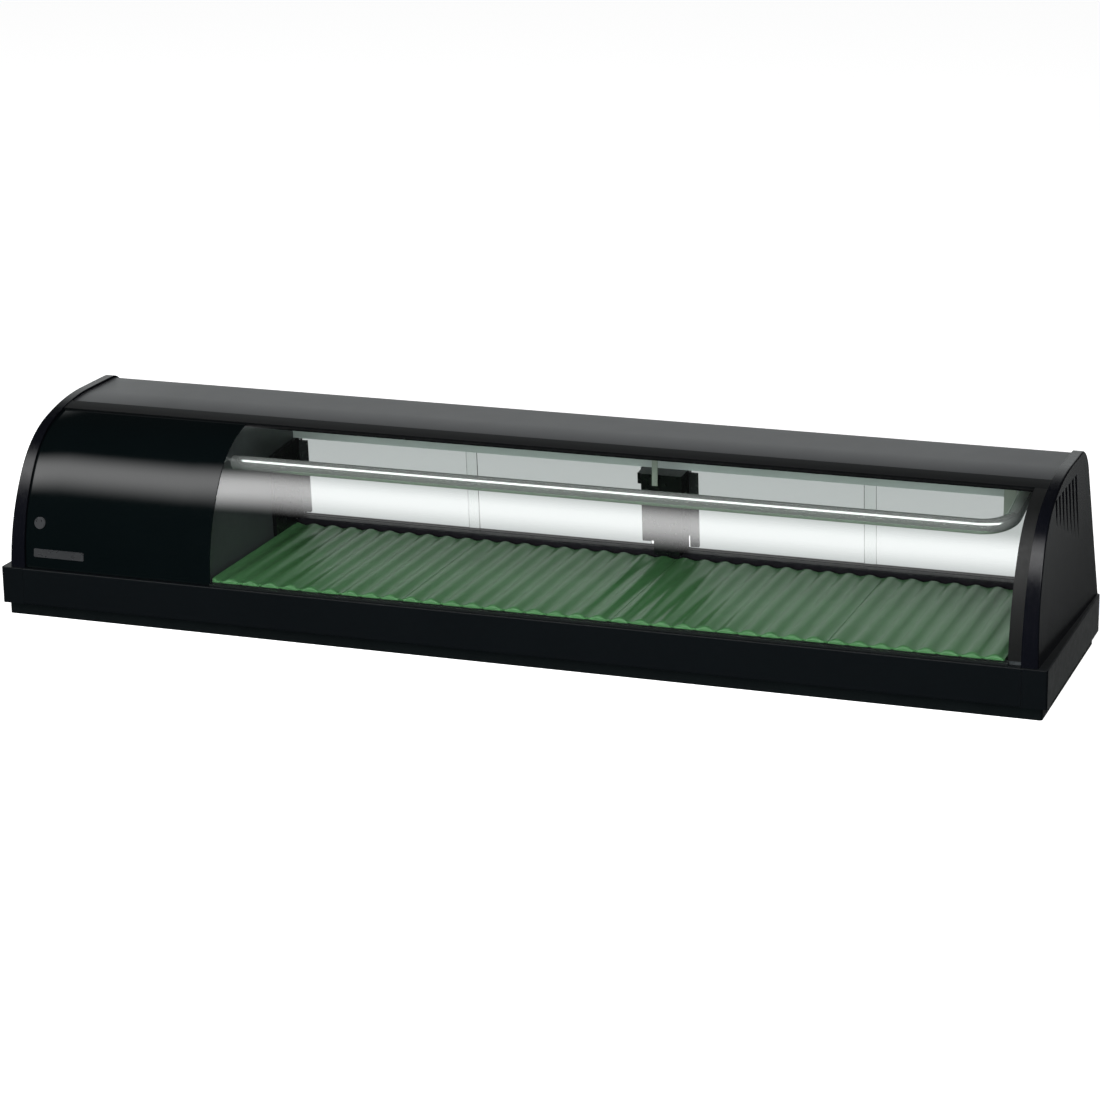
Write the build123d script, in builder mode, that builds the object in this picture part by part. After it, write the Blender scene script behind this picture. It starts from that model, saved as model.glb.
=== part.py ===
# Countertop refrigerated deli case: curved front glass over a row of corrugated trays, a machine
# compartment at the left end and sliding glass doors on the service side.
# Millimetres. +X runs along the case, -Y is the customer side, +Z is up, Z = 0 is the counter.
import os
from math import atan2, cos, degrees, pi, radians, sin

from build123d import *

os.makedirs("parts", exist_ok=True)

# ---------------------------------------------------------------- driving dimensions
CASE_LENGTH = 1500.0
CASE_DEPTH = 345.0
CASE_HEIGHT = 280.0

PLINTH_HEIGHT = 17.5
PLINTH_INSET = 7.0
RAIL_TOP = 70.0            # top of the base rails
RAIL_LIP = 14.0            # depth of the front and rear rail sections
SHEET = 2.0                # sheet metal
SKIN = 3.0                 # moulded plastic wall

HALF_LENGTH = CASE_LENGTH / 2
FRONT = -CASE_DEPTH / 2
REAR = CASE_DEPTH / 2
CAP_SEAM = 716.0           # joint between the base rails and the base end caps

# side outline of the upper body: three tangent arcs, a flat top and a leaning back
OUTLINE_FRONT = FRONT + 4.5
FACE_RADIUS = 252.0        # nearly upright front
SHOULDER_RADIUS = 132.0    # tighter bend over the display
FACE_ANGLE = 34.0
SHOULDER_ANGLE = 37.6
crown_slope = sin(radians(FACE_ANGLE + SHOULDER_ANGLE))
CROWN_RADIUS = (
    CASE_HEIGHT - RAIL_TOP - (FACE_RADIUS - SHOULDER_RADIUS) * sin(radians(FACE_ANGLE))
    - SHOULDER_RADIUS * crown_slope
) / (1 - crown_slope)      # runs out level at the top of the case
ARC_RADII = (FACE_RADIUS, SHOULDER_RADIUS, CROWN_RADIUS)
ARC_ANGLES = (FACE_ANGLE, SHOULDER_ANGLE, 90 - FACE_ANGLE - SHOULDER_ANGLE)
TOP_REAR = FRONT + 297.9   # where the flat top ends
BACK_RADIUS = 35.0
BACK_LEAN = degrees(atan2(12.0, 175.0))

# ends
PANEL_INNER = 714.2        # inner face of the moulded end panels
RIM_TOP = 728.5            # outer face at the top
RIM_FOOT_FRONT = 736.5     # outer face at the foot, customer side
RIM_FOOT_REAR = 747.0      # outer face at the foot, service side
RIM_ROUND = 2.5
FLUTES = 7
FLUTE_PITCH = 20.7
FLUTE_FIRST = FRONT + 122.0
FLUTE_TOP = 262.0
FLUTE_RADIUS = 11.0
FLUTE_DEPTH = 1.8

# stack of the upper body, measured inwards from the side outline
BODY_INSET = 3.0           # outer face of glass, cover and top
GLASS = 5.0
GLASS_LEFT = -427.0
GLASS_RIGHT = 697.0
TRIM_FRONT = FRONT + 144.0
TRIM_REAR = FRONT + 168.5
GLASS_TOP = FRONT + 151.5

# machine compartment
PARTITION_LEFT = -446.0
PARTITION_RIGHT = -433.0

# service side, measured in the leaning plane of the doors
SILL = 14.0                # top of the lower track
HEAD = 136.0               # bottom of the upper rail
HEAD_TOP = 175.0
TRACK_DEPTH = 26.0
RAIL_DEPTH = 20.0
PANE = 3.0
PANE_DEPTHS = (10.5, 3.0)  # depth of the inner and the outer pane behind the service face
GROOVE_PLAY = 0.6
POST_LEFT = 110.0
POST_RIGHT = 170.0
POST_DEPTH = 48.0
DOOR_OVERLAP = 19.0
GRIP_WIDTH = 12.0

# cooling
PIPE_RADIUS = 10.25
PIPE_BEND = 40.0
PIPE_BEND_REAR = 24.0
PIPE_FRONT = (FRONT + 112.0, 220.0)   # Y, Z of the front run
PIPE_REAR = (FRONT + 266.0, 246.0)    # Y, Z of the rear run
PIPE_END = 670.0

# trays
TRAY_EDGES = (-426.8, -141.0, 158.0, 457.0, 691.0)
TRAY_FIRST_CREST = -429.0
TRAY_FRONT = FRONT + 15.0
TRAY_REAR = FRONT + 308.0
TRAY_LEVEL = 75.0
TRAY_WAVE = 3.0
TRAY_PITCH = 29.9
TRAY_THICKNESS = 2.4


def outline(inset=0.0):
    """Closed side outline of the upper body, moved inwards by inset, with Y and Z as its own x and y."""
    lean = radians(BACK_LEAN)
    with BuildSketch() as face:
        with BuildLine():
            lower = JernArc((OUTLINE_FRONT + inset, RAIL_TOP), (0, 1), ARC_RADII[0] - inset, -ARC_ANGLES[0])
            middle = JernArc(lower @ 1, lower % 1, ARC_RADII[1] - inset, -ARC_ANGLES[1])
            upper = JernArc(middle @ 1, middle % 1, ARC_RADII[2] - inset, -ARC_ANGLES[2])
            flat = Line(upper @ 1, (TOP_REAR, (upper @ 1).Y))
            corner = JernArc(flat @ 1, (1, 0), BACK_RADIUS - inset, -(90 - BACK_LEAN))
            drop = (corner @ 1).Y - RAIL_TOP
            back = Line(corner @ 1, ((corner @ 1).X + drop * sin(lean) / cos(lean), RAIL_TOP))
            Line(back @ 1, lower @ 0)
        make_face()
    return face.sketch_local


OUTLINE_TOP = outline().bounding_box().max.Y
BACK_FOOT = outline(BODY_INSET - 1.0).bounding_box().max.X

# The plane of the service side: local X along the case, local Y up the lean, local Z inwards.
SERVICE = Plane(
    origin=(0, BACK_FOOT, RAIL_TOP),
    x_dir=(1, 0, 0),
    z_dir=(0, -cos(radians(BACK_LEAN)), -sin(radians(BACK_LEAN))),
)


def save(builder, name):
    """Label a finished piece and write its STEP file."""
    builder.part.label = name
    export_step(builder.part, f"parts/{name}.step")


def shell_band(x_start, x_end, outer, inner, y_low, y_high, z_low=RAIL_TOP, z_high=CASE_HEIGHT):
    """A curved sheet between two insets of the outline, cut to a window in Y and Z."""
    with BuildPart() as band:
        with BuildSketch(Plane.YZ.offset(x_start)):
            add(outline(outer))
            add(outline(inner), mode=Mode.SUBTRACT)
            with Locations(((y_low + y_high) / 2, (z_low + z_high) / 2)):
                Rectangle(y_high - y_low, z_high - z_low, mode=Mode.INTERSECT)
        extrude(amount=x_end - x_start)
    return band


def service_block(x_low, x_high, s_low, s_high, n_low, n_high):
    """A block on the service plane: X range, range up the lean and range of depth."""
    with BuildPart() as block:
        with BuildSketch(SERVICE.offset(n_low)):
            with Locations(((x_low + x_high) / 2, (s_low + s_high) / 2)):
                Rectangle(x_high - x_low, s_high - s_low)
        extrude(amount=n_high - n_low)
    return block


def block(x_low, x_high, y_low, y_high, z_low, z_high):
    """A plain block between two corners, as a solid outside any builder."""
    return Solid.make_box(x_high - x_low, y_high - y_low, z_high - z_low, Plane(origin=(x_low, y_low, z_low)))


# ---------------------------------------------------------------- base
PLINTH_WALL = 3.0
PLINTH_FLANGE = 24.0
with BuildPart() as plinth:
    with BuildSketch():
        RectangleRounded(CASE_LENGTH - 2 * PLINTH_INSET, CASE_DEPTH - 2 * PLINTH_INSET, 4)
    extrude(amount=PLINTH_HEIGHT)
    with BuildSketch(Plane.XY.offset(PLINTH_WALL)):
        RectangleRounded(
            CASE_LENGTH - 2 * PLINTH_INSET - 2 * PLINTH_WALL,
            CASE_DEPTH - 2 * PLINTH_INSET - 2 * PLINTH_WALL,
            2,
        )
    extrude(amount=PLINTH_HEIGHT, mode=Mode.SUBTRACT)
    with BuildSketch():
        RectangleRounded(
            CASE_LENGTH - 2 * PLINTH_INSET - 2 * PLINTH_FLANGE,
            CASE_DEPTH - 2 * PLINTH_INSET - 2 * PLINTH_FLANGE,
            2,
        )
    extrude(amount=PLINTH_HEIGHT, mode=Mode.SUBTRACT)
save(plinth, "plinth")

PLINTH_SIDE = HALF_LENGTH - PLINTH_INSET
with BuildPart() as plinth_screws:
    for side in (-1, 1):
        for y in (FRONT + 42, FRONT + 283):
            with BuildSketch(Plane((side * PLINTH_SIDE, y, 9), x_dir=(0, 1, 0), z_dir=(side, 0, 0))):
                Circle(3.2)
            extrude(amount=1.6)
save(plinth_screws, "plinth_screws")


def base_rail(front_face, inward):
    """C-section rail between the base end caps; inward is +1 at the front and -1 at the rear."""
    centre = front_face + inward * RAIL_LIP / 2
    with BuildPart() as rail:
        with BuildSketch(Plane.YZ.offset(-CAP_SEAM)):
            with Locations((centre, (PLINTH_HEIGHT + RAIL_TOP) / 2)):
                Rectangle(RAIL_LIP, RAIL_TOP - PLINTH_HEIGHT)
            with Locations((centre + inward * 1.25, (PLINTH_HEIGHT + RAIL_TOP) / 2)):
                Rectangle(RAIL_LIP - 2.5, RAIL_TOP - PLINTH_HEIGHT - 5.0, mode=Mode.SUBTRACT)
        extrude(amount=2 * CAP_SEAM)
        outer_edges = rail.edges().filter_by(Axis.X).group_by(Axis.Y)[0 if inward > 0 else -1]
        fillet(outer_edges, 1.5)
    return rail


front_rail = base_rail(FRONT, 1)
save(front_rail, "front_rail")
rear_rail = base_rail(REAR, -1)
save(rear_rail, "rear_rail")

CAP_GAP = 0.4
with BuildPart() as base_cap_right:
    with BuildSketch(Plane.XY.offset(PLINTH_HEIGHT)):
        with Locations(((CAP_SEAM + CAP_GAP + HALF_LENGTH) / 2, 0)):
            Rectangle(HALF_LENGTH - CAP_SEAM - CAP_GAP, CASE_DEPTH)
    extrude(amount=RAIL_TOP - PLINTH_HEIGHT)
    fillet(base_cap_right.edges().filter_by(Axis.Z).group_by(Axis.X)[-1], 4)
    fillet(base_cap_right.faces().sort_by(Axis.Z)[-1].edges().group_by(Axis.X)[1:], 1.2)
    with BuildSketch(Plane.XY.offset(PLINTH_HEIGHT)):
        with Locations(((CAP_SEAM + HALF_LENGTH - SKIN) / 2, 0)):
            Rectangle(HALF_LENGTH - CAP_SEAM - SKIN, CASE_DEPTH - 2 * SKIN)
    extrude(amount=RAIL_TOP - PLINTH_HEIGHT - SKIN, mode=Mode.SUBTRACT)
save(base_cap_right, "base_cap_right")

with BuildPart() as base_cap_left:
    mirror(base_cap_right.part, about=Plane.YZ)
save(base_cap_left, "base_cap_left")

DECK_FRONT = FRONT + RAIL_LIP + 0.3
DECK_REAR = REAR - RAIL_LIP - 0.3
DECK_FLOOR = PLINTH_HEIGHT + SHEET
DRAIN = (640.0, 60.0)
with BuildPart() as base_deck:
    with BuildSketch(Plane.XY.offset(PLINTH_HEIGHT)):
        with Locations((0, (DECK_FRONT + DECK_REAR) / 2)):
            Rectangle(2 * PANEL_INNER, DECK_REAR - DECK_FRONT)
        with Locations(DRAIN):
            Circle(14, mode=Mode.SUBTRACT)
    extrude(amount=30)
    add(
        block(
            -PANEL_INNER + SHEET, PANEL_INNER - SHEET, DECK_FRONT + SHEET, DECK_REAR - SHEET,
            DECK_FLOOR, DECK_FLOOR + 40,
        ),
        mode=Mode.SUBTRACT,
    )
save(base_deck, "base_deck")

# ---------------------------------------------------------------- cold tub under the trays
TUB_LEFT = PARTITION_LEFT + 2
TUB_RIGHT = GLASS_RIGHT + 12
TUB_FRONT = DECK_FRONT + 4
TUB_REAR = DECK_REAR - 4
FOAM_TOP = 44.0
LINER_TOP = 67.0
LINER_SHEET = 1.5
with BuildPart() as tub_foam:
    with BuildSketch(Plane.XY.offset(DECK_FLOOR + 0.3)):
        with Locations(((TUB_LEFT + TUB_RIGHT) / 2, (TUB_FRONT + TUB_REAR) / 2)):
            Rectangle(TUB_RIGHT - TUB_LEFT, TUB_REAR - TUB_FRONT)
        with Locations(DRAIN):
            Circle(14, mode=Mode.SUBTRACT)
    extrude(amount=FOAM_TOP - DECK_FLOOR - 0.3)
save(tub_foam, "tub_foam")

with BuildPart() as tub_liner:
    with BuildSketch(Plane.XY.offset(FOAM_TOP + 0.3)):
        with Locations(((TUB_LEFT + TUB_RIGHT) / 2, (TUB_FRONT + TUB_REAR) / 2)):
            Rectangle(TUB_RIGHT - TUB_LEFT, TUB_REAR - TUB_FRONT)
        with Locations(DRAIN):
            Circle(11, mode=Mode.SUBTRACT)
    extrude(amount=LINER_TOP - FOAM_TOP - 0.3)
    add(
        block(
            TUB_LEFT + LINER_SHEET, TUB_RIGHT - LINER_SHEET, TUB_FRONT + LINER_SHEET, TUB_REAR - LINER_SHEET,
            FOAM_TOP + 0.3 + LINER_SHEET, LINER_TOP + 10,
        ),
        mode=Mode.SUBTRACT,
    )
save(tub_liner, "tub_liner")

with BuildPart() as drain_fitting:
    with BuildSketch(Plane.XY.offset(6)):
        with Locations(DRAIN):
            Circle(10.6)
            Circle(8, mode=Mode.SUBTRACT)
    extrude(amount=FOAM_TOP + LINER_SHEET + 0.6 - 6)
    with BuildSketch(Plane.XY.offset(FOAM_TOP + LINER_SHEET + 0.4)):
        with Locations(DRAIN):
            Circle(15)
            Circle(8, mode=Mode.SUBTRACT)
    extrude(amount=1.5)
save(drain_fitting, "drain_fitting")

# serpentine tube lying in the tub
COIL_RADIUS = 4.0
COIL_LEVEL = FOAM_TOP + LINER_SHEET + COIL_RADIUS + 0.8
COIL_LEFT = -405.0
COIL_RIGHT = 610.0
COIL_ROWS = [FRONT + 55 + 47 * row for row in range(6)]
coil_route = [(PARTITION_LEFT + 22, COIL_ROWS[0], COIL_LEVEL)]
for row, y in enumerate(COIL_ROWS):
    ends = (COIL_LEFT, COIL_RIGHT) if row % 2 == 0 else (COIL_RIGHT, COIL_LEFT)
    coil_route += [(x, y, COIL_LEVEL) for x in ends]
with BuildPart() as lower_evaporator:
    with BuildLine() as coil_line:
        FilletPolyline(*coil_route[:1], *coil_route[2:], radius=20)
    with BuildSketch(Plane(origin=coil_line.line @ 0, z_dir=coil_line.line % 0)):
        Circle(COIL_RADIUS)
    sweep()
save(lower_evaporator, "lower_evaporator")

SUPPORT_TOP = TRAY_LEVEL - TRAY_WAVE - TRAY_THICKNESS / 2 - 0.1
with BuildPart() as tray_supports:
    for y in (FRONT + 30, FRONT + 166, FRONT + 302):
        with BuildSketch(Plane.YZ.offset(TUB_LEFT + 12)):
            with BuildLine():
                Polyline(
                    (y - 5, SUPPORT_TOP - 13), (y - 5, SUPPORT_TOP), (y + 5, SUPPORT_TOP),
                    (y + 5, SUPPORT_TOP - 13), (y + 3.5, SUPPORT_TOP - 13), (y + 3.5, SUPPORT_TOP - 1.5),
                    (y - 3.5, SUPPORT_TOP - 1.5), (y - 3.5, SUPPORT_TOP - 13), close=True,
                )
            make_face()
        extrude(amount=GLASS_RIGHT - 4 - (TUB_LEFT + 12))
save(tray_supports, "tray_supports")


def corrugated_tray(x_low, x_high):
    """A wavy sheet whose ridges run from front to back."""
    half = TRAY_THICKNESS / 2
    count = int((x_high - x_low) / (TRAY_PITCH / 4))
    xs = [x_low + (x_high - x_low) * i / count for i in range(count + 1)]
    wave = [(x, TRAY_LEVEL + TRAY_WAVE * cos(2 * pi * (x - TRAY_FIRST_CREST) / TRAY_PITCH)) for x in xs]
    with BuildPart() as tray:
        with BuildSketch(Plane.XZ.offset(-TRAY_FRONT)):
            with BuildLine():
                top = Spline(*[(x, z + half) for x, z in wave])
                bottom = Spline(*[(x, z - half) for x, z in wave])
                Line(top @ 0, bottom @ 0)
                Line(top @ 1, bottom @ 1)
            make_face()
        extrude(amount=-(TRAY_REAR - TRAY_FRONT))
    return tray


for number in range(1, 5):
    tray_part = corrugated_tray(TRAY_EDGES[number - 1] + 0.4, TRAY_EDGES[number] - 0.4)
    save(tray_part, f"tray_{number}")

# ---------------------------------------------------------------- end panels
WEDGE_FRONT = FRONT - 5.0
WEDGE_REAR = REAR + 5.0
WEDGE_TOP = CASE_HEIGHT + 1.0


def end_wedge(thinner):
    """Leaning, flaring slab that gives an end panel its outer face, thinner by the given amount."""
    foot = [
        (PANEL_INNER, WEDGE_FRONT), (RIM_FOOT_FRONT - thinner, WEDGE_FRONT),
        (RIM_FOOT_REAR - thinner, WEDGE_REAR), (PANEL_INNER, WEDGE_REAR),
    ]
    head = [
        (PANEL_INNER, WEDGE_FRONT), (RIM_TOP - thinner, WEDGE_FRONT),
        (RIM_TOP - thinner, WEDGE_REAR), (PANEL_INNER, WEDGE_REAR),
    ]
    with BuildPart() as wedge:
        for height, corners in ((RAIL_TOP, foot), (WEDGE_TOP, head)):
            with BuildSketch(Plane.XY.offset(height)):
                with BuildLine():
                    Polyline(*corners, close=True)
                make_face()
        loft(ruled=True)
    return wedge


def outer_face_x(y, z):
    """X of the end panel's outer face."""
    foot = RIM_FOOT_FRONT + (RIM_FOOT_REAR - RIM_FOOT_FRONT) * (y - WEDGE_FRONT) / (WEDGE_REAR - WEDGE_FRONT)
    return foot + (RIM_TOP - foot) * (z - RAIL_TOP) / (WEDGE_TOP - RAIL_TOP)


with BuildPart() as end_pocket:
    add(end_wedge(SKIN + 1).part)
    with BuildSketch(Plane.YZ.offset(PANEL_INNER)):
        add(outline(SKIN + 9))
    extrude(amount=60, mode=Mode.INTERSECT)

with BuildPart() as end_panel_right:
    add(end_wedge(0).part)
    with BuildSketch(Plane.YZ.offset(PANEL_INNER)):
        add(outline())
    extrude(amount=60, mode=Mode.INTERSECT)
    rim_edges = end_panel_right.faces().sort_by(Axis.X)[-1].edges().filter_by(lambda e: e.center().Z > RAIL_TOP + 1)
    fillet(rim_edges, RIM_ROUND)
    add(end_pocket.part, mode=Mode.SUBTRACT)
    for flute in range(FLUTES):
        flute_y = FLUTE_FIRST + FLUTE_PITCH * flute
        flute_foot = 225 - 9 * flute
        high = Vector(outer_face_x(flute_y, FLUTE_TOP) + FLUTE_RADIUS - FLUTE_DEPTH, flute_y, FLUTE_TOP)
        low = Vector(outer_face_x(flute_y, flute_foot) + FLUTE_RADIUS, flute_y, flute_foot)
        with BuildSketch(Plane(origin=high, z_dir=low - high)):
            Circle(FLUTE_RADIUS)
        extrude(amount=(low - high).length + 25, mode=Mode.SUBTRACT)
save(end_panel_right, "end_panel_right")

with BuildPart() as end_panel_left:
    mirror(end_panel_right.part, about=Plane.YZ)
save(end_panel_left, "end_panel_left")

WALL_TOP = 260.0           # top of the walls at both ends of the display

# inner wall of the display at the right end, which also backs the glass seal
with BuildPart() as end_wall:
    with BuildSketch(Plane.YZ.offset(GLASS_RIGHT + 0.3)):
        add(outline(8.4))
        with Locations((0, WALL_TOP + 20)):
            Rectangle(CASE_DEPTH, 40, mode=Mode.SUBTRACT)
    extrude(amount=PANEL_INNER - GLASS_RIGHT - 0.6)
save(end_wall, "end_wall")

# ---------------------------------------------------------------- top, glass and cover
top_panel = shell_band(
    -PANEL_INNER + 0.3, PANEL_INNER - 0.3, BODY_INSET, BODY_INSET + SHEET, TRIM_REAR, REAR, 246.5, CASE_HEIGHT,
)
save(top_panel, "top_panel")

INSULATION_FLOOR = 258.0
with BuildPart() as top_insulation:
    with BuildSketch(Plane.YZ.offset(PARTITION_RIGHT + 0.5)):
        add(outline(BODY_INSET + SHEET + 0.3))
        with Locations(((TRIM_REAR + 2 + REAR) / 2, (INSULATION_FLOOR + CASE_HEIGHT) / 2)):
            Rectangle(REAR - TRIM_REAR - 2, CASE_HEIGHT - INSULATION_FLOOR, mode=Mode.INTERSECT)
    extrude(amount=GLASS_RIGHT - PARTITION_RIGHT - 0.8)
save(top_insulation, "top_insulation")

TRIM_PROUD = 0.8
with BuildPart() as top_trim:
    add(shell_band(
        -PANEL_INNER + 0.3, PANEL_INNER - 0.3, TRIM_PROUD, BODY_INSET - 0.2, TRIM_FRONT, TRIM_REAR - 0.3, 240,
    ).part)
    add(shell_band(
        -PANEL_INNER + 0.3, PANEL_INNER - 0.3, BODY_INSET - 0.4, 11, GLASS_TOP + 0.5, TRIM_REAR - 0.3, 240,
    ).part)
save(top_trim, "top_trim")

SEAL_FOOT = RAIL_TOP + 7    # lower end of the seal beside the glass
CHANNEL = 9.4              # width of the channel the glass stands in
CHANNEL_WALL = 3.0         # its height
front_glass = shell_band(
    GLASS_LEFT + 0.4, GLASS_RIGHT + 9, BODY_INSET, BODY_INSET + GLASS, FRONT, GLASS_TOP, RAIL_TOP + 2.2,
)
save(front_glass, "front_glass")

with BuildPart() as glass_sill:
    with BuildSketch(Plane.YZ.offset(GLASS_LEFT + 0.4)):
        with Locations((OUTLINE_FRONT + 5.5, RAIL_TOP + 0.1 + CHANNEL_WALL / 2)):
            Rectangle(CHANNEL, CHANNEL_WALL)
        with Locations((OUTLINE_FRONT + 5.5, RAIL_TOP + 5)):
            Rectangle(GLASS + 0.5, 6, mode=Mode.SUBTRACT)
    extrude(amount=GLASS_RIGHT - GLASS_LEFT - 0.4)
save(glass_sill, "glass_sill")

with BuildPart() as glass_seal_right:
    add(shell_band(GLASS_RIGHT, PANEL_INNER - 0.3, 0.9, BODY_INSET - 0.2, FRONT, TRIM_FRONT - 0.5, SEAL_FOOT).part)
    add(shell_band(
        GLASS_RIGHT + 9.3, PANEL_INNER - 0.3, BODY_INSET - 0.3, 8.2, FRONT, TRIM_FRONT - 0.5, SEAL_FOOT,
    ).part)
save(glass_seal_right, "glass_seal_right")

machine_cover = shell_band(
    -PANEL_INNER + 0.3, GLASS_LEFT, BODY_INSET, BODY_INSET + SHEET, FRONT, TRIM_REAR - 17.5, RAIL_TOP + 0.3,
)
save(machine_cover, "machine_cover")


def cover_plane(x, z):
    """Plane touching the outside of the lower arc of the cover at a height."""
    radius = ARC_RADII[0] - BODY_INSET
    rise = (z - RAIL_TOP) / radius
    y = OUTLINE_FRONT + BODY_INSET + radius * (1 - (1 - rise * rise) ** 0.5)
    normal = Vector(0, -((1 - rise * rise) ** 0.5), rise)
    return Plane(origin=Vector(x, y, z) + normal * 0.02, x_dir=(1, 0, 0), z_dir=normal)


with BuildPart() as blank_badges:
    with BuildSketch(cover_plane(-692, 135)):
        Circle(8.5)
    extrude(amount=1.4)
    with BuildSketch(cover_plane(-661, 93)):
        RectangleRounded(78, 12, 2)
    extrude(amount=1.2)
save(blank_badges, "blank_badges")

with BuildPart() as partition_wall:
    with BuildSketch(Plane.YZ.offset(PARTITION_LEFT)):
        add(outline(8.4))
        with Locations((0, WALL_TOP + 20)):
            Rectangle(CASE_DEPTH, 40, mode=Mode.SUBTRACT)
        with Locations(PIPE_FRONT, PIPE_REAR):
            Circle(PIPE_RADIUS + 0.5, mode=Mode.SUBTRACT)
    extrude(amount=PARTITION_RIGHT - PARTITION_LEFT)
save(partition_wall, "partition_wall")

# ---------------------------------------------------------------- service side frame
TRACK_LEFT = PARTITION_RIGHT + 0.5
TRACK_RIGHT = GLASS_RIGHT - 0.2


def cut_grooves(s_low, s_high):
    """Cut the two door grooves into the open builder."""
    for depth in PANE_DEPTHS:
        add(
            service_block(
                TRACK_LEFT - 1, TRACK_RIGHT + 1, s_low, s_high, depth - GROOVE_PLAY, depth + PANE + GROOVE_PLAY,
            ).part,
            mode=Mode.SUBTRACT,
        )


with BuildPart() as lower_door_track:
    add(service_block(TRACK_LEFT, TRACK_RIGHT, 2.0, SILL, 0, TRACK_DEPTH).part)
    fillet(lower_door_track.edges().filter_by(Axis.X).group_by(Axis.Y)[0].sort_by(Axis.Z)[-1:], 2)
    cut_grooves(SILL - 6, SILL + 5)
save(lower_door_track, "lower_door_track")

with BuildPart() as upper_door_rail:
    add(service_block(TRACK_LEFT, TRACK_RIGHT, HEAD, HEAD_TOP, 0, RAIL_DEPTH).part)
    cut_grooves(HEAD - 5, HEAD + 12)
save(upper_door_rail, "upper_door_rail")

JAMB = 6.0
jamb_left = service_block(TRACK_LEFT, PARTITION_RIGHT + JAMB, SILL + 0.3, HEAD - 0.3, 0, 108)
save(jamb_left, "jamb_left")
jamb_right = service_block(GLASS_RIGHT - JAMB, TRACK_RIGHT, SILL + 0.3, HEAD - 0.3, 0, 60)
save(jamb_right, "jamb_right")

FOOT_TOP = 37.0            # where the post widens above its narrow foot
with BuildPart() as centre_post:
    add(service_block(POST_LEFT, POST_RIGHT, FOOT_TOP, HEAD - 0.3, 0, POST_DEPTH).part)
    fillet(centre_post.faces().sort_by(Axis.Y)[0].edges().filter_by(lambda e: e.length > 95), 2)
    add(service_block(POST_LEFT + 16, POST_RIGHT - 6, SILL + 0.3, FOOT_TOP + 2, 0, POST_DEPTH - 4).part)
    add(service_block(POST_LEFT - 5, POST_LEFT + 2, HEAD - 16, HEAD - 0.3, 20, POST_DEPTH - 2).part)
save(centre_post, "centre_post")

# ---------------------------------------------------------------- sliding doors
OPENINGS = ((PARTITION_RIGHT + JAMB, POST_LEFT), (POST_RIGHT, GLASS_RIGHT - JAMB))
PANE_FOOT = SILL - 5.5
PANE_HEAD = HEAD + 6.0
door_travel = []
for opening, (left, right) in enumerate(OPENINGS):
    pane_width = (right - left + DOOR_OVERLAP) / 2 - 1
    door_travel.append(right - left - pane_width - 2)
    for leaf, (start, depth) in enumerate(((left + 1, PANE_DEPTHS[0]), (right - 1 - pane_width, PANE_DEPTHS[1]))):
        number = 2 * opening + leaf + 1
        with BuildPart() as door_glass:
            add(service_block(start, start + pane_width, PANE_FOOT, PANE_HEAD, depth, depth + PANE).part)
            chamfer(door_glass.edges().filter_by(lambda e: e.length > 100 and abs((e % 0).X) < 0.1), 0.4)
        save(door_glass, f"door_glass_{number}")
        outer_end = start if leaf == 0 else start + pane_width
        inwards = 1 if leaf == 0 else -1
        grip_low, grip_high = sorted((outer_end - inwards * 0.8, outer_end + inwards * GRIP_WIDTH))
        pane_low, pane_high = sorted((outer_end - inwards * 0.05, outer_end + inwards * (GRIP_WIDTH + 1)))
        with BuildPart() as door_grip:
            add(service_block(grip_low, grip_high, SILL + 6, HEAD - 6, depth - 1.3, depth + PANE + 1.3).part)
            add(
                service_block(pane_low, pane_high, SILL, HEAD, depth - 0.05, depth + PANE + 0.05).part,
                mode=Mode.SUBTRACT,
            )
        save(door_grip, f"door_grip_{number}")

# ---------------------------------------------------------------- cooling pipe
pipe_start = PARTITION_LEFT - 18
with BuildPart() as cooling_pipe:
    with BuildLine() as pipe_line:
        FilletPolyline(
            (pipe_start, *PIPE_FRONT), (PIPE_END, *PIPE_FRONT), (PIPE_END, *PIPE_REAR), (pipe_start, *PIPE_REAR),
            radius=[PIPE_BEND, PIPE_BEND_REAR],
        )
    with BuildSketch(Plane(origin=(pipe_start, *PIPE_FRONT), z_dir=(1, 0, 0))):
        Circle(PIPE_RADIUS)
    sweep()
save(cooling_pipe, "cooling_pipe")

HANGER_STRIP = (SERVICE * Pos(0, HEAD - 14, POST_DEPTH + 1)).position
with BuildPart() as pipe_hangers:
    for x_low, x_high in ((130, 138), (628, 645)):
        with BuildSketch(Plane.YZ.offset(x_low)):
            with Locations(PIPE_REAR):
                Circle(PIPE_RADIUS + 1.6)
            with Locations((PIPE_REAR[0] + PIPE_RADIUS + 1.4, (PIPE_REAR[1] + HANGER_STRIP.Z) / 2)):
                Rectangle(1.8, PIPE_REAR[1] - HANGER_STRIP.Z)
            with Locations((PIPE_REAR[0], (PIPE_REAR[1] + INSULATION_FLOOR - 0.3) / 2)):
                Rectangle(4, INSULATION_FLOOR - 0.3 - PIPE_REAR[1])
            with Locations(PIPE_REAR):
                Circle(PIPE_RADIUS + 0.3, mode=Mode.SUBTRACT)
        extrude(amount=x_high - x_low)
save(pipe_hangers, "pipe_hangers")

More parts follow.
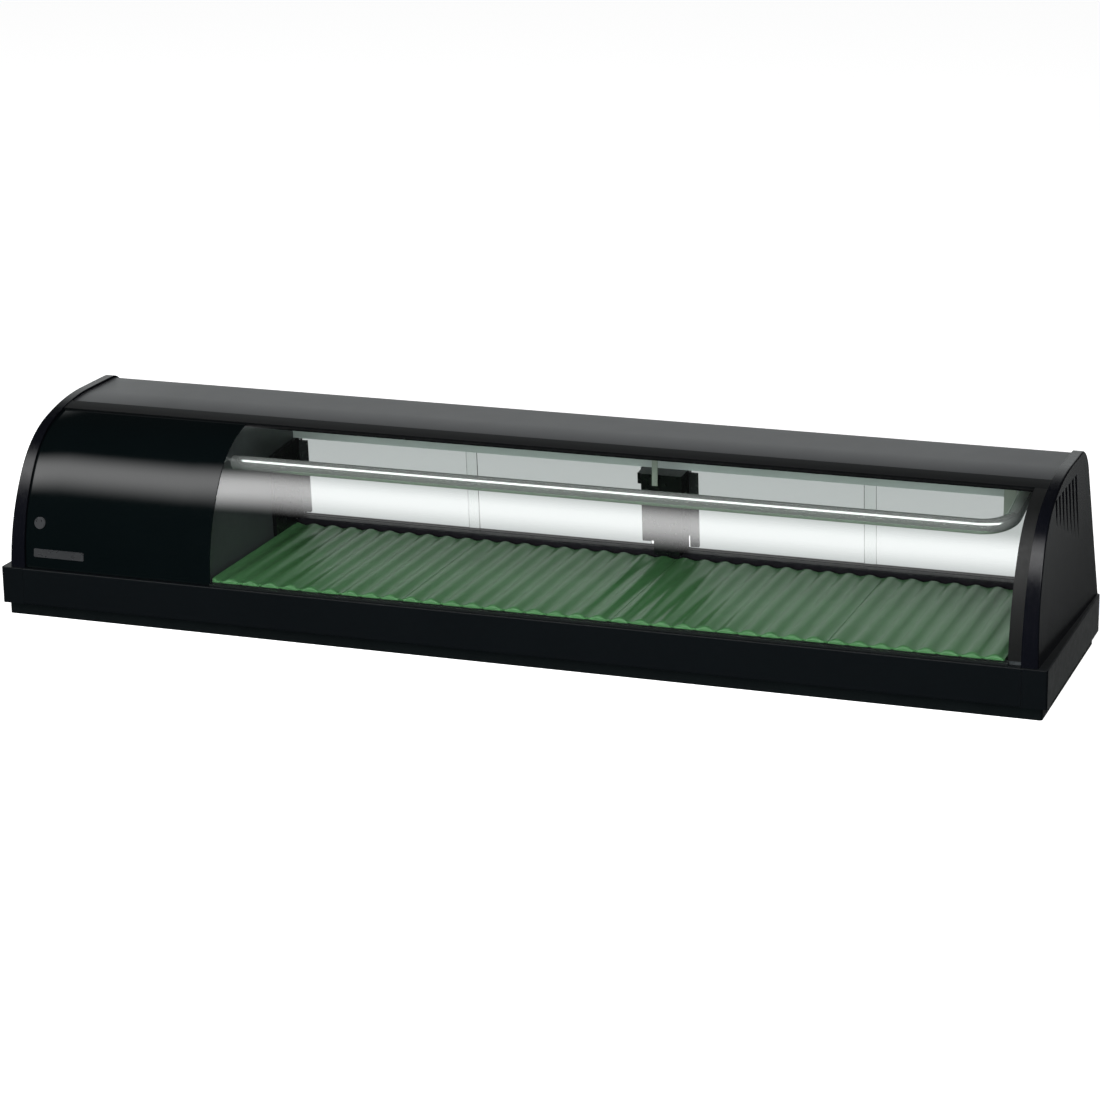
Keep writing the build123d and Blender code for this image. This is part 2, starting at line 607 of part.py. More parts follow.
# ---------------------------------------------------------------- machine compartment
COMPRESSOR = (-640.0, FRONT + 118.0)
COMPRESSOR_FOOT = DECK_FLOOR + 12
with BuildPart() as compressor:
    with BuildSketch(Plane.XZ.offset(-COMPRESSOR[1])):
        with BuildLine():
            Polyline(
                (COMPRESSOR[0], COMPRESSOR_FOOT + 4), (COMPRESSOR[0] + 40, COMPRESSOR_FOOT + 4),
                (COMPRESSOR[0] + 52, COMPRESSOR_FOOT + 22), (COMPRESSOR[0] + 52, COMPRESSOR_FOOT + 62),
                (COMPRESSOR[0] + 54, COMPRESSOR_FOOT + 63), (COMPRESSOR[0] + 54, COMPRESSOR_FOOT + 68),
                (COMPRESSOR[0] + 52, COMPRESSOR_FOOT + 69), (COMPRESSOR[0] + 50, COMPRESSOR_FOOT + 100),
                (COMPRESSOR[0] + 34, COMPRESSOR_FOOT + 122), (COMPRESSOR[0], COMPRESSOR_FOOT + 128), close=True,
            )
        make_face()
    revolve(axis=Axis((COMPRESSOR[0], COMPRESSOR[1], 0), (0, 0, 1)))
    with BuildSketch(Plane.XY.offset(COMPRESSOR_FOOT)):
        with Locations(COMPRESSOR):
            RectangleRounded(128, 110, 12)
        with Locations(COMPRESSOR):
            with GridLocations(108, 88, 2, 2):
                Circle(6.2, mode=Mode.SUBTRACT)
    extrude(amount=4.5)
save(compressor, "compressor")

with BuildPart() as compressor_mounts:
    with Locations((COMPRESSOR[0], COMPRESSOR[1], DECK_FLOOR + 0.1)):
        with GridLocations(108, 88, 2, 2):
            Cylinder(9, 11.6, align=(Align.CENTER, Align.CENTER, Align.MIN))
            Cylinder(5.6, 20, align=(Align.CENTER, Align.CENTER, Align.MIN))
    fillet(compressor_mounts.edges().filter_by(GeomType.CIRCLE).group_by(Axis.Z)[-1], 1.5)
save(compressor_mounts, "compressor_mounts")

CONDENSER_X = (-704.0, -564.0)
CONDENSER_Y = (FRONT + 268.0, FRONT + 306.0)
CONDENSER_Z = (62.0, 186.0)
FIN_PITCH = 3.5
BRACKET_FOOT = DECK_FLOOR + 0.2
with BuildPart() as condenser:
    fin_centre_y = (CONDENSER_Y[0] + CONDENSER_Y[1]) / 2
    fin_count = int((CONDENSER_X[1] - CONDENSER_X[0]) / FIN_PITCH)
    row_levels = [CONDENSER_Z[0] + 15.5 + 31 * row for row in range(4)]
    with BuildSketch(Plane.YZ.offset(CONDENSER_X[0])):
        with Locations((fin_centre_y, (CONDENSER_Z[0] + CONDENSER_Z[1]) / 2)):
            Rectangle(CONDENSER_Y[1] - CONDENSER_Y[0], CONDENSER_Z[1] - CONDENSER_Z[0])
    extrude(amount=1.0)
    with Locations([(FIN_PITCH * (fin + 0.5), 0, 0) for fin in range(1, fin_count)]):
        add(
            block(
                CONDENSER_X[0], CONDENSER_X[0] + 0.6, CONDENSER_Y[0], CONDENSER_Y[1],
                CONDENSER_Z[0], CONDENSER_Z[1],
            )
        )
    for level in row_levels:
        for y in (fin_centre_y - 10, fin_centre_y + 10):
            with BuildSketch(Plane.YZ.offset(CONDENSER_X[0] - 6)):
                with Locations((y, level)):
                    Circle(3.6)
            extrude(amount=CONDENSER_X[1] - CONDENSER_X[0] + 12)
    for x in (CONDENSER_X[0] - 1, CONDENSER_X[1] - 1):
        with BuildSketch(Plane.YZ.offset(x)):
            with Locations((fin_centre_y, (BRACKET_FOOT + CONDENSER_Z[1]) / 2)):
                Rectangle(CONDENSER_Y[1] - CONDENSER_Y[0], CONDENSER_Z[1] - BRACKET_FOOT)
        extrude(amount=2)
save(condenser, "condenser")

FAN = ((CONDENSER_X[0] + CONDENSER_X[1]) / 2, FRONT + 240.0, (CONDENSER_Z[0] + CONDENSER_Z[1]) / 2)
FAN_RADIUS = 52.0
SHROUD_Y = CONDENSER_Y[0] - 4
with BuildPart() as fan_shroud:
    with BuildSketch(Plane.XZ.offset(-(SHROUD_Y - 2))):
        with Locations((FAN[0], FAN[2])):
            RectangleRounded(132, 122, 6)
            Circle(FAN_RADIUS + 4, mode=Mode.SUBTRACT)
    extrude(amount=-2)
    with BuildSketch(Plane.XZ.offset(-(SHROUD_Y - 30))):
        with Locations((FAN[0], FAN[2])):
            Circle(FAN_RADIUS + 5.5)
            Circle(FAN_RADIUS + 4, mode=Mode.SUBTRACT)
    extrude(amount=-30)
    with BuildSketch(Plane.XZ.offset(-(SHROUD_Y - 32))):
        with Locations((FAN[0], FAN[2])):
            Rectangle(2 * FAN_RADIUS + 11, 12)
            Rectangle(12, 2 * FAN_RADIUS + 11)
            Circle(19.4, mode=Mode.SUBTRACT)
    extrude(amount=-4.5)
save(fan_shroud, "fan_shroud")

with BuildPart() as fan_motor:
    with BuildSketch(Plane.XZ.offset(-(SHROUD_Y - 56))):
        with Locations((FAN[0], FAN[2])):
            Circle(19)
    extrude(amount=-31)
    fillet(fan_motor.edges().filter_by(GeomType.CIRCLE), 2)
    with BuildSketch(Plane.XZ.offset(-(SHROUD_Y - 27))):
        with Locations((FAN[0], FAN[2])):
            Circle(3)
    extrude(amount=-17)
save(fan_motor, "fan_motor")

BLADES = 5
FAN_FRONT = SHROUD_Y - 22
with BuildPart() as fan_blade:
    with BuildSketch(Plane.XZ.offset(-FAN_FRONT)):
        with Locations((FAN[0], FAN[2])):
            Circle(16)
            Circle(3.05, mode=Mode.SUBTRACT)
    extrude(amount=-16)
    for blade in range(BLADES):
        turn = 360 * blade / BLADES
        blade_plane = (
            Plane(origin=(FAN[0], FAN_FRONT + 8, FAN[2]), x_dir=(1, 0, 0), z_dir=(0, -1, 0))
            .rotated((0, 0, 0))
            * Rot(0, 0, turn) * Pos(13, 0, 0) * Rot(0, 90, 0) * Rot(0, 0, 32)
        )
        with BuildSketch(Plane(blade_plane)):
            RectangleRounded(2.0, 24, 0.9)
        with BuildSketch(Plane(blade_plane * Pos(0, 0, FAN_RADIUS - 14) * Rot(0, 0, 18))):
            RectangleRounded(1.6, 30, 0.7)
        loft()
save(fan_blade, "fan_blade")

with BuildPart() as filter_drier:
    with BuildSketch(Plane((-496, FRONT + 110, 44), x_dir=(1, 0, 0), z_dir=(0, 1, 0))):
        Circle(11)
    extrude(amount=78)
    fillet(filter_drier.edges().filter_by(GeomType.CIRCLE), 5)
save(filter_drier, "filter_drier")

TUBE_RADIUS = 3.2
DISCHARGE = (COMPRESSOR[0] + 53.5, COMPRESSOR[1] + 6, COMPRESSOR_FOOT + 56)
tube_routes = {
    "discharge": [
        DISCHARGE, (DISCHARGE[0] + 22, DISCHARGE[1], DISCHARGE[2]),
        (DISCHARGE[0] + 22, DISCHARGE[1], CONDENSER_Z[1] + 12),
        (DISCHARGE[0] + 22, FRONT + 232, CONDENSER_Z[1] + 12),
    ],
    "liquid": [
        (-496, FRONT + 190, 44), (-496, FRONT + 228, 44), (-550, FRONT + 228, 44), (-550, FRONT + 300, 44),
    ],
    "suction": [
        (-466, PIPE_FRONT[0], PIPE_FRONT[1]), (-500, PIPE_FRONT[0], PIPE_FRONT[1]),
        (-530, PIPE_FRONT[0], 130), (-560, PIPE_FRONT[0] - 4, 104), (-585, PIPE_FRONT[0] - 4, 104),
    ],
}
with BuildPart() as refrigerant_tubes:
    for route in tube_routes.values():
        with BuildLine() as tube_line:
            FilletPolyline(*route, radius=12)
        with BuildSketch(Plane(origin=route[0], z_dir=tube_line.line % 0)):
            Circle(TUBE_RADIUS)
        sweep(path=tube_line.line)
save(refrigerant_tubes, "refrigerant_tubes")

# ---------------------------------------------------------------- rear machine panel
GRILLE_LEFT = -PANEL_INNER + 0.5
GRILLE_RIGHT = PARTITION_RIGHT
FILTER_X = (-700.0, -566.0)
FILTER_S = (34.0, 128.0)
CONTROL_X = (-548.0, -456.0)
CONTROL_S = (52.0, 118.0)
GLAND_AT = (-470.0, 26.0)
with BuildPart() as rear_panel:
    add(service_block(GRILLE_LEFT, GRILLE_RIGHT, 2.5, HEAD_TOP, 0, SHEET).part)
    with BuildSketch(SERVICE.offset(-1)):
        with Locations(((FILTER_X[0] + FILTER_X[1]) / 2, (FILTER_S[0] + FILTER_S[1]) / 2)):
            RectangleRounded(FILTER_X[1] - FILTER_X[0], FILTER_S[1] - FILTER_S[0], 5)
        with Locations(((CONTROL_X[0] + CONTROL_X[1]) / 2, (CONTROL_S[0] + CONTROL_S[1]) / 2)):
            RectangleRounded(CONTROL_X[1] - CONTROL_X[0], CONTROL_S[1] - CONTROL_S[0], 3)
        with Locations(((GRILLE_LEFT + GRILLE_RIGHT) / 2, 153)):
            with GridLocations(60, 9, 4, 3):
                SlotOverall(50, 4)
        with Locations(GLAND_AT):
            Circle(10)
    extrude(amount=SHEET + 2, mode=Mode.SUBTRACT)
save(rear_panel, "rear_panel")

LOUVRES = 10
with BuildPart() as air_filter:
    with BuildSketch(SERVICE.offset(-1.6)):
        with Locations(((FILTER_X[0] + FILTER_X[1]) / 2, (FILTER_S[0] + FILTER_S[1]) / 2)):
            RectangleRounded(FILTER_X[1] - FILTER_X[0] - 1.2, FILTER_S[1] - FILTER_S[0] - 1.2, 4.4)
            with GridLocations(62, 8.4, 2, LOUVRES):
                SlotOverall(56, 4.4, mode=Mode.SUBTRACT)
    extrude(amount=8)
save(air_filter, "air_filter")

KNOB_RADIUS = 15.0
KNOB_PROUD = 5.9
CONTROL_CENTRE = ((CONTROL_X[0] + CONTROL_X[1]) / 2, (CONTROL_S[0] + CONTROL_S[1]) / 2)
KNOB_AT = (CONTROL_CENTRE[0] - 20, CONTROL_CENTRE[1])
SWITCH_AT = (CONTROL_CENTRE[0] + 26, CONTROL_CENTRE[1])
with BuildPart() as control_box:
    with BuildSketch(SERVICE.offset(SHEET + 0.2)):
        with Locations(CONTROL_CENTRE):
            RectangleRounded(CONTROL_X[1] - CONTROL_X[0] + 6, CONTROL_S[1] - CONTROL_S[0] + 6, 3)
    extrude(amount=42)
    with BuildSketch(SERVICE.offset(-0.6)):
        with Locations(CONTROL_CENTRE):
            RectangleRounded(CONTROL_X[1] - CONTROL_X[0] - 1, CONTROL_S[1] - CONTROL_S[0] - 1, 2.6)
    extrude(amount=SHEET + 1)
    with BuildSketch(SERVICE.offset(-1)):
        with Locations(KNOB_AT):
            Circle(4.1)
        with Locations(SWITCH_AT):
            Rectangle(15.2, 25.2)
    extrude(amount=22, mode=Mode.SUBTRACT)
save(control_box, "control_box")

with BuildPart() as thermostat_knob:
    with BuildSketch(SERVICE.offset(-0.8)):
        with Locations(KNOB_AT):
            Circle(KNOB_RADIUS)
    extrude(amount=-KNOB_PROUD, taper=6)
    with BuildSketch(SERVICE.offset(-0.8 - KNOB_PROUD)):
        with Locations(KNOB_AT):
            with PolarLocations(KNOB_RADIUS + 0.4, 12):
                Circle(1.6)
        with Locations((KNOB_AT[0], KNOB_AT[1] + 9)):
            SlotOverall(9, 1.6, rotation=90)
    extrude(amount=KNOB_PROUD - 1.5, mode=Mode.SUBTRACT)
    with BuildSketch(SERVICE.offset(-0.8)):
        with Locations(KNOB_AT):
            Circle(4.0)
    extrude(amount=18)
save(thermostat_knob, "thermostat_knob")

SWITCH_PIVOT_DEPTH = 6.0
SWITCH_PIVOT = (SERVICE * Pos(SWITCH_AT[0], SWITCH_AT[1], SWITCH_PIVOT_DEPTH)).position
with BuildPart() as power_switch:
    with BuildSketch(Plane(SWITCH_PIVOT - Vector(7.2, 0, 0), x_dir=SERVICE.z_dir, z_dir=(1, 0, 0))):
        with BuildLine():
            Polyline((8, -9.8), (-9.4, -11.6), (-8.0, 0), (-9.4, 11.6), (8, 9.8), close=True)
        make_face()
    extrude(amount=14.4)
save(power_switch, "power_switch")

with BuildPart() as cord_gland:
    with BuildSketch(SERVICE.offset(-2.5)):
        with Locations(GLAND_AT):
            RegularPolygon(13, 6)
            Circle(4.5, mode=Mode.SUBTRACT)
    extrude(amount=2.4)
    with BuildSketch(SERVICE.offset(-3)):
        with Locations(GLAND_AT):
            Circle(9.6)
            Circle(4.5, mode=Mode.SUBTRACT)
    extrude(amount=18)
save(cord_gland, "cord_gland")

with BuildPart() as panel_screws:
    for x in (GRILLE_LEFT + 7, (GRILLE_LEFT + GRILLE_RIGHT) / 2, GRILLE_RIGHT - 8):
        for s in (14, HEAD_TOP - 5):
            with BuildSketch(SERVICE.offset(-0.02)):
                with Locations((x, s)):
                    Circle(3.6)
            extrude(amount=-1.8)
save(panel_screws, "panel_screws")

print("outline top", round(OUTLINE_TOP, 3), "back foot", round(BACK_FOOT, 3))
print("door travel", [round(travel, 2) for travel in door_travel])
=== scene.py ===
import math
import bpy
import bmesh
from mathutils import Matrix, Vector


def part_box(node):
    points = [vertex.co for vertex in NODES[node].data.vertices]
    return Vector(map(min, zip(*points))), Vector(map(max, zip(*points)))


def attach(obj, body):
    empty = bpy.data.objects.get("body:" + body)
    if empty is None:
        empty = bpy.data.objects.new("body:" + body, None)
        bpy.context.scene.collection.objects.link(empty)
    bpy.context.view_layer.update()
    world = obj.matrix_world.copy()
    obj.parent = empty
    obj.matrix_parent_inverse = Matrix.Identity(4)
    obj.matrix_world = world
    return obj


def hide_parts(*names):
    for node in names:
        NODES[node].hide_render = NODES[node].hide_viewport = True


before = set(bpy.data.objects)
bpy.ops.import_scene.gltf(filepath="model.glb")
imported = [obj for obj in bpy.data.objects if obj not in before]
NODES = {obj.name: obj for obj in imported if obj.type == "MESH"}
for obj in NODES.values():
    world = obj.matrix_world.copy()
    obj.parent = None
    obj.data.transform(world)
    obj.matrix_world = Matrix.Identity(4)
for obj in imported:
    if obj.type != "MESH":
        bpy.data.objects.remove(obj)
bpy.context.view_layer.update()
scene = bpy.context.scene
scene.view_settings.view_transform = "Standard"
scene.view_settings.look = "None"


def srgb(r, g, b):
    """Linear colour of an 8-bit display colour."""
    out = []
    for v in (r, g, b):
        v /= 255
        out.append(v / 12.92 if v <= 0.04045 else ((v + 0.055) / 1.055) ** 2.4)
    return (*out, 1.0)


# ------------------------------------------------------------------ materials
class Graph:
    """A small helper round one material's node tree."""

    def __init__(self, name):
        self.mat = bpy.data.materials.new(name)
        self.mat.use_nodes = True
        self.tree = self.mat.node_tree
        self.tree.nodes.clear()
        self.out = self.add("ShaderNodeOutputMaterial")
        self.coords = self.add("ShaderNodeTexCoord").outputs["Object"]

    def add(self, kind, **props):
        node = self.tree.nodes.new(kind)
        for key, value in props.items():
            setattr(node, key, value)
        return node

    def link(self, a, b):
        self.tree.links.new(a, b)

    def noise(self, scale, detail=3.0, rough=0.55, stretch=(1, 1, 1)):
        mapping = self.add("ShaderNodeMapping")
        mapping.inputs["Scale"].default_value = stretch
        self.link(self.coords, mapping.inputs["Vector"])
        node = self.add("ShaderNodeTexNoise")
        node.inputs["Scale"].default_value = scale
        node.inputs["Detail"].default_value = detail
        node.inputs["Roughness"].default_value = rough
        self.link(mapping.outputs["Vector"], node.inputs["Vector"])
        return node.outputs["Fac"]

    def remap(self, value, low, high, start=0.3, end=0.7):
        node = self.add("ShaderNodeMapRange")
        node.inputs["From Min"].default_value = start
        node.inputs["From Max"].default_value = end
        node.inputs["To Min"].default_value = low
        node.inputs["To Max"].default_value = high
        self.link(value, node.inputs["Value"])
        return node.outputs["Result"]

    def blend(self, fac, a, b):
        node = self.add("ShaderNodeMix", data_type="RGBA")
        if isinstance(fac, float):
            node.inputs["Factor"].default_value = fac
        else:
            self.link(fac, node.inputs["Factor"])
        for socket, value in ((node.inputs[6], a), (node.inputs[7], b)):
            if isinstance(value, tuple):
                socket.default_value = value
            else:
                self.link(value, socket)
        return node.outputs[2]

    def bump(self, height, distance):
        node = self.add("ShaderNodeBump")
        node.inputs["Strength"].default_value = 1.0
        node.inputs["Distance"].default_value = distance
        self.link(height, node.inputs["Height"])
        return node.outputs["Normal"]


COAT_ROUGHNESS = 0.1
SPECKS_PER_CLOUD = 14        # gloss specks are this much finer than the colour clouds


def surface(name, color, rough, vary=0.06, metallic=0.0, specular=0.5, tint=0.25, grain=(0.0, 0.0),
            stretch=(1, 1, 1), coat=0.0, wear=None, mottling=9.0):
    """A finish with uneven colour and gloss, fine grain and, where wear is given, paler worn edges."""
    g = Graph(name)
    bsdf = g.add("ShaderNodeBsdfPrincipled")
    g.link(bsdf.outputs[0], g.out.inputs["Surface"])
    cloud = g.noise(mottling, 4.0, 0.6, stretch)
    dark = tuple(c * (1 - tint) for c in color[:3]) + (1.0,)
    light = tuple(min(1.0, c * (1 + tint)) for c in color[:3]) + (1.0,)
    tone = g.blend(g.remap(cloud, 0.0, 1.0), dark, light)
    if wear is not None:
        edge = g.add("ShaderNodeNewGeometry").outputs["Pointiness"]
        tone = g.blend(g.remap(edge, 0.0, 1.0, 0.52, 0.62), tone, wear)
    g.link(tone, bsdf.inputs["Base Color"])
    speck = g.noise(mottling * SPECKS_PER_CLOUD, 3.0, 0.6, stretch)
    g.link(g.remap(speck, max(rough - vary, 0.02), min(rough + vary, 1.0)), bsdf.inputs["Roughness"])
    bsdf.inputs["Metallic"].default_value = metallic
    bsdf.inputs["Specular IOR Level"].default_value = specular
    bsdf.inputs["Coat Weight"].default_value = coat
    bsdf.inputs["Coat Roughness"].default_value = COAT_ROUGHNESS
    if grain[1] > 0:
        g.link(g.bump(g.noise(grain[0], 2.0, 0.5, stretch), grain[1]), bsdf.inputs["Normal"])
    return g.mat


SMEAR_ROUGHNESS = 0.03
GLASS_INDEX = 1.5


def clear_sheet(name, tint, low, high):
    """Thin clear sheet: straight through, with a mirror film that strengthens towards grazing."""
    g = Graph(name)
    through = g.add("ShaderNodeBsdfTransparent")
    through.inputs["Color"].default_value = tint
    shine = g.add("ShaderNodeBsdfGlossy")
    shine.inputs["Color"].default_value = (1, 1, 1, 1)
    smear = g.noise(6.0, 3.0, 0.6, (1, 1, 3))
    g.link(g.remap(smear, 0.0, SMEAR_ROUGHNESS), shine.inputs["Roughness"])
    facing = g.add("ShaderNodeFresnel")
    facing.inputs["IOR"].default_value = GLASS_INDEX
    amount = g.remap(facing.outputs[0], low, high, 0.04, 1.0)
    outside = g.add("ShaderNodeMath", operation="SUBTRACT")
    outside.inputs[0].default_value = 1.0
    g.link(g.add("ShaderNodeNewGeometry").outputs["Backfacing"], outside.inputs[1])
    film = g.add("ShaderNodeMath", operation="MULTIPLY")
    g.link(amount, film.inputs[0])
    g.link(outside.outputs[0], film.inputs[1])
    mix = g.add("ShaderNodeMixShader")
    g.link(film.outputs[0], mix.inputs["Fac"])
    g.link(through.outputs[0], mix.inputs[1])
    g.link(shine.outputs[0], mix.inputs[2])
    g.link(mix.outputs[0], g.out.inputs["Surface"])
    return g.mat


def pane_glass(name, tint):
    """Flat float glass that bends light as a real pane does."""
    g = Graph(name)
    bsdf = g.add("ShaderNodeBsdfPrincipled")
    g.link(bsdf.outputs[0], g.out.inputs["Surface"])
    cloud = g.noise(3.0)
    pale = tuple(min(1.0, c * 1.02) for c in tint[:3]) + (1.0,)
    g.link(g.blend(g.remap(cloud, 0.0, 1.0), tint, pale), bsdf.inputs["Base Color"])
    g.link(g.remap(g.noise(40.0), 0.0, 0.02), bsdf.inputs["Roughness"])
    bsdf.inputs["Transmission Weight"].default_value = 1.0
    bsdf.inputs["IOR"].default_value = 1.45
    return g.mat


M = {
    "top": surface("top_paint", srgb(52, 53, 55), 0.32, 0.01, tint=0.03, mottling=2),
    "trim": surface("trim_black", srgb(7, 8, 9), 0.34, 0.01, tint=0.03, specular=0.22, mottling=2),
    "cover": surface("cover_gloss", srgb(4, 8, 9), 0.09, 0.02, tint=0.1, specular=0.5),
    "end": surface("end_moulding", srgb(8, 9, 14), 0.2, 0.05, tint=0.12, specular=0.45),
    "base": surface("base_satin", srgb(9, 12, 14), 0.35, 0.03, tint=0.05, specular=0.25),
    "plinth": surface("plinth_matte", srgb(9, 13, 14), 0.5, 0.08, tint=0.15, specular=0.2),
    "post": surface("post_gloss", srgb(8, 10, 11), 0.3, 0.05, specular=0.35),
    "wall": surface("liner_wall", srgb(60, 64, 66), 0.35, 0.04, tint=0.05),
    "rail": surface("rail_paint", srgb(186, 197, 195), 0.4, 0.05, tint=0.03),
    "track": surface("track_plastic", srgb(24, 23, 27), 0.4, 0.05, tint=0.08),
    "tray": surface("tray_green", srgb(70, 116, 73), 0.3, 0.02, tint=0.04, specular=0.65, mottling=4),
    "pipe": surface("pipe_polish", srgb(222, 226, 224), 0.15, 0.02, metallic=0.8, tint=0.03, specular=0.8),
    "steel": surface("zinc_steel", srgb(150, 150, 148), 0.35, 0.08, metallic=1.0, tint=0.1),
    "galv": surface("galvanised", srgb(150, 154, 155), 0.4, 0.12, metallic=1.0, tint=0.2, mottling=60),
    "liner": surface(
        "tub_steel", srgb(110, 114, 116), 0.35, 0.05, metallic=0.8, tint=0.06, stretch=(1, 30, 30),
    ),
    "foam": surface("foam", srgb(214, 200, 160), 0.9, 0.05, grain=(400, 0.0006)),
    "foam_white": surface("ceiling_liner", srgb(176, 184, 183), 0.5, 0.05, tint=0.03),
    "fin": surface("fin_aluminium", srgb(190, 192, 192), 0.35, 0.08, metallic=1.0, tint=0.08),
    "copper": surface("copper_tube", srgb(184, 108, 78), 0.3, 0.1, metallic=1.0, tint=0.2),
    "enamel": surface("black_enamel", srgb(16, 16, 17), 0.3, 0.06, coat=0.4),
    "rubber": surface("rubber", srgb(20, 20, 20), 0.75, 0.08),
    "motor": surface("motor_enamel", srgb(110, 112, 112), 0.45, 0.08),
    "rear": surface("rear_coat", srgb(22, 24, 26), 0.45, 0.06, tint=0.1, grain=(1500, 0.00005)),
    "control": surface("control_texture", srgb(20, 21, 22), 0.55, 0.06, grain=(1800, 0.0001)),
    "knob": surface("knob_plastic", srgb(18, 18, 18), 0.4, 0.05, wear=srgb(60, 60, 60)),
    "switch": surface("switch_green", srgb(20, 110, 60), 0.22, 0.03, specular=0.6),
    "filter": surface("filter_frame", srgb(52, 54, 56), 0.55, 0.06),
    "badge": surface("badge_plate", srgb(80, 82, 84), 0.3, 0.05, metallic=0.7, tint=0.1),
    "sill": surface("sill_strip", srgb(20, 23, 23), 0.4, 0.03, tint=0.05),
    "seal": surface("seal_rubber", srgb(14, 15, 15), 0.5, 0.06),
    "hanger": surface("hanger_paint", srgb(150, 160, 150), 0.4, 0.05),
    "grip": surface("grip_clear", srgb(40, 43, 44), 0.25, 0.05),
    "front_glass": clear_sheet("front_glass", (0.985, 0.995, 0.99, 1), 0.13, 1.0),
    "door_glass": pane_glass("door_glass", (0.985, 0.998, 0.993, 1)),
}

ASSIGN = {
    "top_panel": "top", "top_trim": "trim", "machine_cover": "cover", "end_panel_left": "end",
    "end_panel_right": "end", "front_rail": "base", "rear_rail": "base", "base_cap_left": "base",
    "base_cap_right": "base", "plinth": "plinth", "centre_post": "post", "jamb_left": "post",
    "jamb_right": "post", "partition_wall": "wall", "end_wall": "wall", "upper_door_rail": "rail",
    "lower_door_track": "track", "tray_1": "tray", "tray_2": "tray", "tray_3": "tray", "tray_4": "tray",
    "cooling_pipe": "pipe", "plinth_screws": "steel", "panel_screws": "steel", "base_deck": "galv",
    "tub_liner": "liner", "tray_supports": "liner", "tub_foam": "foam", "top_insulation": "foam_white",
    "lower_evaporator": "fin", "condenser": "fin", "fan_blade": "fin", "filter_drier": "copper",
    "refrigerant_tubes": "copper", "compressor": "enamel", "compressor_mounts": "rubber",
    "fan_motor": "motor", "fan_shroud": "galv", "rear_panel": "rear", "control_box": "control",
    "cord_gland": "rubber", "thermostat_knob": "knob", "power_switch": "switch", "air_filter": "filter",
    "blank_badges": "badge", "glass_sill": "sill", "glass_seal_right": "seal", "pipe_hangers": "hanger",
    "drain_fitting": "rubber", "front_glass": "front_glass",
}
for n in range(1, 5):
    ASSIGN[f"door_glass_{n}"] = "door_glass"
    ASSIGN[f"door_grip_{n}"] = "grip"
for node, key in ASSIGN.items():
    obj = NODES[node]
    obj.data.materials.clear()
    obj.data.materials.append(M[key])

# ------------------------------------------------------------------ shapes shared by the rebuilt pieces
MM = 0.001                   # the dimensions below are in millimetres
FRONT = -172.5
RAIL_TOP = 70.0
CASE_TOP = 280.0
OUTLINE_FRONT = FRONT + 4.5
RADII = (252.0, 132.0, 345.3)    # face, shoulder and crown of the side outline
TURNS = (34.0, 71.6, 90.0)       # where each of them ends, in degrees
BODY_INSET = 3.0             # outer face of glass, cover and roof
GLASS = 5.0
SHEET = 2.0
GAP = 0.05                   # rebuilt faces stay this far inside the solid they replace
GLASS_LEFT, GLASS_RIGHT = -427.0, 697.0
PANEL_INNER = 714.2          # inner face of the end panels
SIDE_PLAY = 0.5
CURVE_STEPS = 96
OUTER = BODY_INSET + GAP
GLASS_INNER = BODY_INSET + GLASS - GAP
SHEET_INNER = BODY_INSET + SHEET - GAP
BACK_LEAN = math.atan2(12.0, 175.0)
TOP_REAR = FRONT + 297.9
BACK_RADIUS = 35.0
arc_centres = [Vector((OUTLINE_FRONT + RADII[0], RAIL_TOP))]
for before, after, turn_at in ((RADII[0], RADII[1], TURNS[0]), (RADII[1], RADII[2], TURNS[1])):
    t = math.radians(turn_at)
    arc_centres.append(arc_centres[-1] + Vector((-math.cos(t), math.sin(t))) * (before - after))


def rim_point(degrees_up, inset):
    """Point of the body's side outline (Y, Z in millimetres), turned so far from the foot of the glass."""
    arc = 0 if degrees_up <= TURNS[0] else 1 if degrees_up <= TURNS[1] else 2
    t = math.radians(degrees_up)
    return arc_centres[arc] + Vector((-math.cos(t), math.sin(t))) * (RADII[arc] - inset)


def turn_where(test):
    """The turn, in degrees, at which test(turn) changes from True to False."""
    low_turn, high_turn = 0.0, 90.0
    for _ in range(40):
        middle = (low_turn + high_turn) / 2
        if test(middle):
            low_turn = middle
        else:
            high_turn = middle
    return low_turn


def finish_piece(name, verts, faces, material, body, replaces, sharp=35.0, bevel=None):
    """Mesh object from millimetre points, on its body, in place of the solids it stands for."""
    mesh = bpy.data.meshes.new(name)
    mesh.from_pydata([Vector(v) * MM for v in verts], [], faces)
    bm = bmesh.new()
    bm.from_mesh(mesh)
    bmesh.ops.remove_doubles(bm, verts=bm.verts, dist=1e-6)
    bmesh.ops.recalc_face_normals(bm, faces=bm.faces)
    bm.to_mesh(mesh)
    bm.free()
    obj = bpy.data.objects.new(name, mesh)
    scene.collection.objects.link(obj)
    if bevel:
        mod = obj.modifiers.new("edge", "BEVEL")
        mod.width, mod.segments = bevel * MM, 3
        mod.limit_method, mod.angle_limit = "ANGLE", math.radians(50)
        bpy.context.view_layer.update()
        done = bpy.data.meshes.new_from_object(obj.evaluated_get(bpy.context.evaluated_depsgraph_get()))
        obj.modifiers.clear()
        obj.data = done
        mesh = done
    for face in mesh.polygons:
        face.use_smooth = True
    mesh.set_sharp_from_angle(angle=math.radians(sharp))
    mesh.materials.clear()
    mesh.materials.append(M[material])
    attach(obj, body)
    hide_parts(*replaces)


